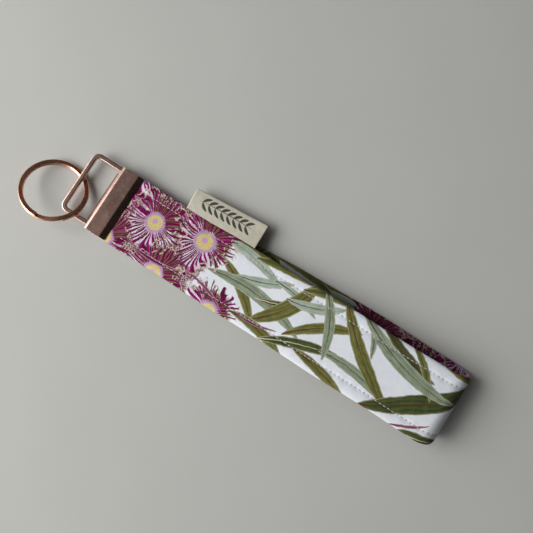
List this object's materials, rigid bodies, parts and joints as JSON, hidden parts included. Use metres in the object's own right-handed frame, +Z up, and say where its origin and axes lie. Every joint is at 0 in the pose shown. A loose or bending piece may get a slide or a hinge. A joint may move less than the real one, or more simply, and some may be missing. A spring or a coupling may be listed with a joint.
{
  "type": "wristlet keychain",
  "caption": "Flat printed-cotton wrist loop, folded and topstitched, crimped in a toothed metal clamp with a rectangular bail and a split key ring; sewn-in fabric label.",
  "frame": {"origin": "underside of the clamp, at the middle of its flat plate", "axes": "+X along the strap to its far fold, +Y to the side with the label, +Z up from the table"},
  "size_m": [0.2084, 0.0508, 0.0123],
  "materials": {
    "rose_metal": "satin rose-gold plating",
    "ring_metal": "polished rose-gold plating",
    "print_cotton": "printed quilting cotton",
    "interfacing": "stiff woven interfacing",
    "thread": "polyester sewing thread",
    "label_cotton": "unbleached cotton ribbon"
  },
  "bodies": {
    "clamp": {"clamp": "rose_metal", "strap_end_upper": "print_cotton", "strap_end_under": "print_cotton"},
    "bail": {"bail": "rose_metal"},
    "ring": {"split_ring": "ring_metal"},
    "strap": {"strap_cover": "print_cotton", "strap_interfacing": "interfacing", "needle_thread_label_side": "thread", "bobbin_thread_label_side": "thread", "needle_thread_plain_side": "thread", "bobbin_thread_plain_side": "thread"},
    "label": {"label": "label_cotton"}
  },
  "joints": [
    {"name": "bail_pivot", "type": "hinge", "parent": "clamp", "child": "bail", "pos_m": [-0.0038, 0.0005, 0.0029], "axis": [0, 1, 0], "range_deg": [-28, 18]},
    {"name": "ring_swing", "type": "hinge", "parent": "bail", "child": "ring", "pos_m": [-0.0183, 0.0023, 0.00163], "axis": [0.3848, -0.8728, 0.3001], "range_deg": [-38, 14]},
    {"name": "strap_bend", "type": "hinge", "parent": "clamp", "child": "strap", "pos_m": [0.0083, 0, 0.0029], "axis": [0, 1, 0], "range_deg": [-75, 75]},
    {"name": "label_flap", "type": "hinge", "parent": "strap", "child": "label", "pos_m": [0.0462, 0.0162, 0.00492], "axis": [1, 0, 0], "range_deg": [-18, 45], "stiffness_Nm_per_rad": 0.0002}
  ]
}
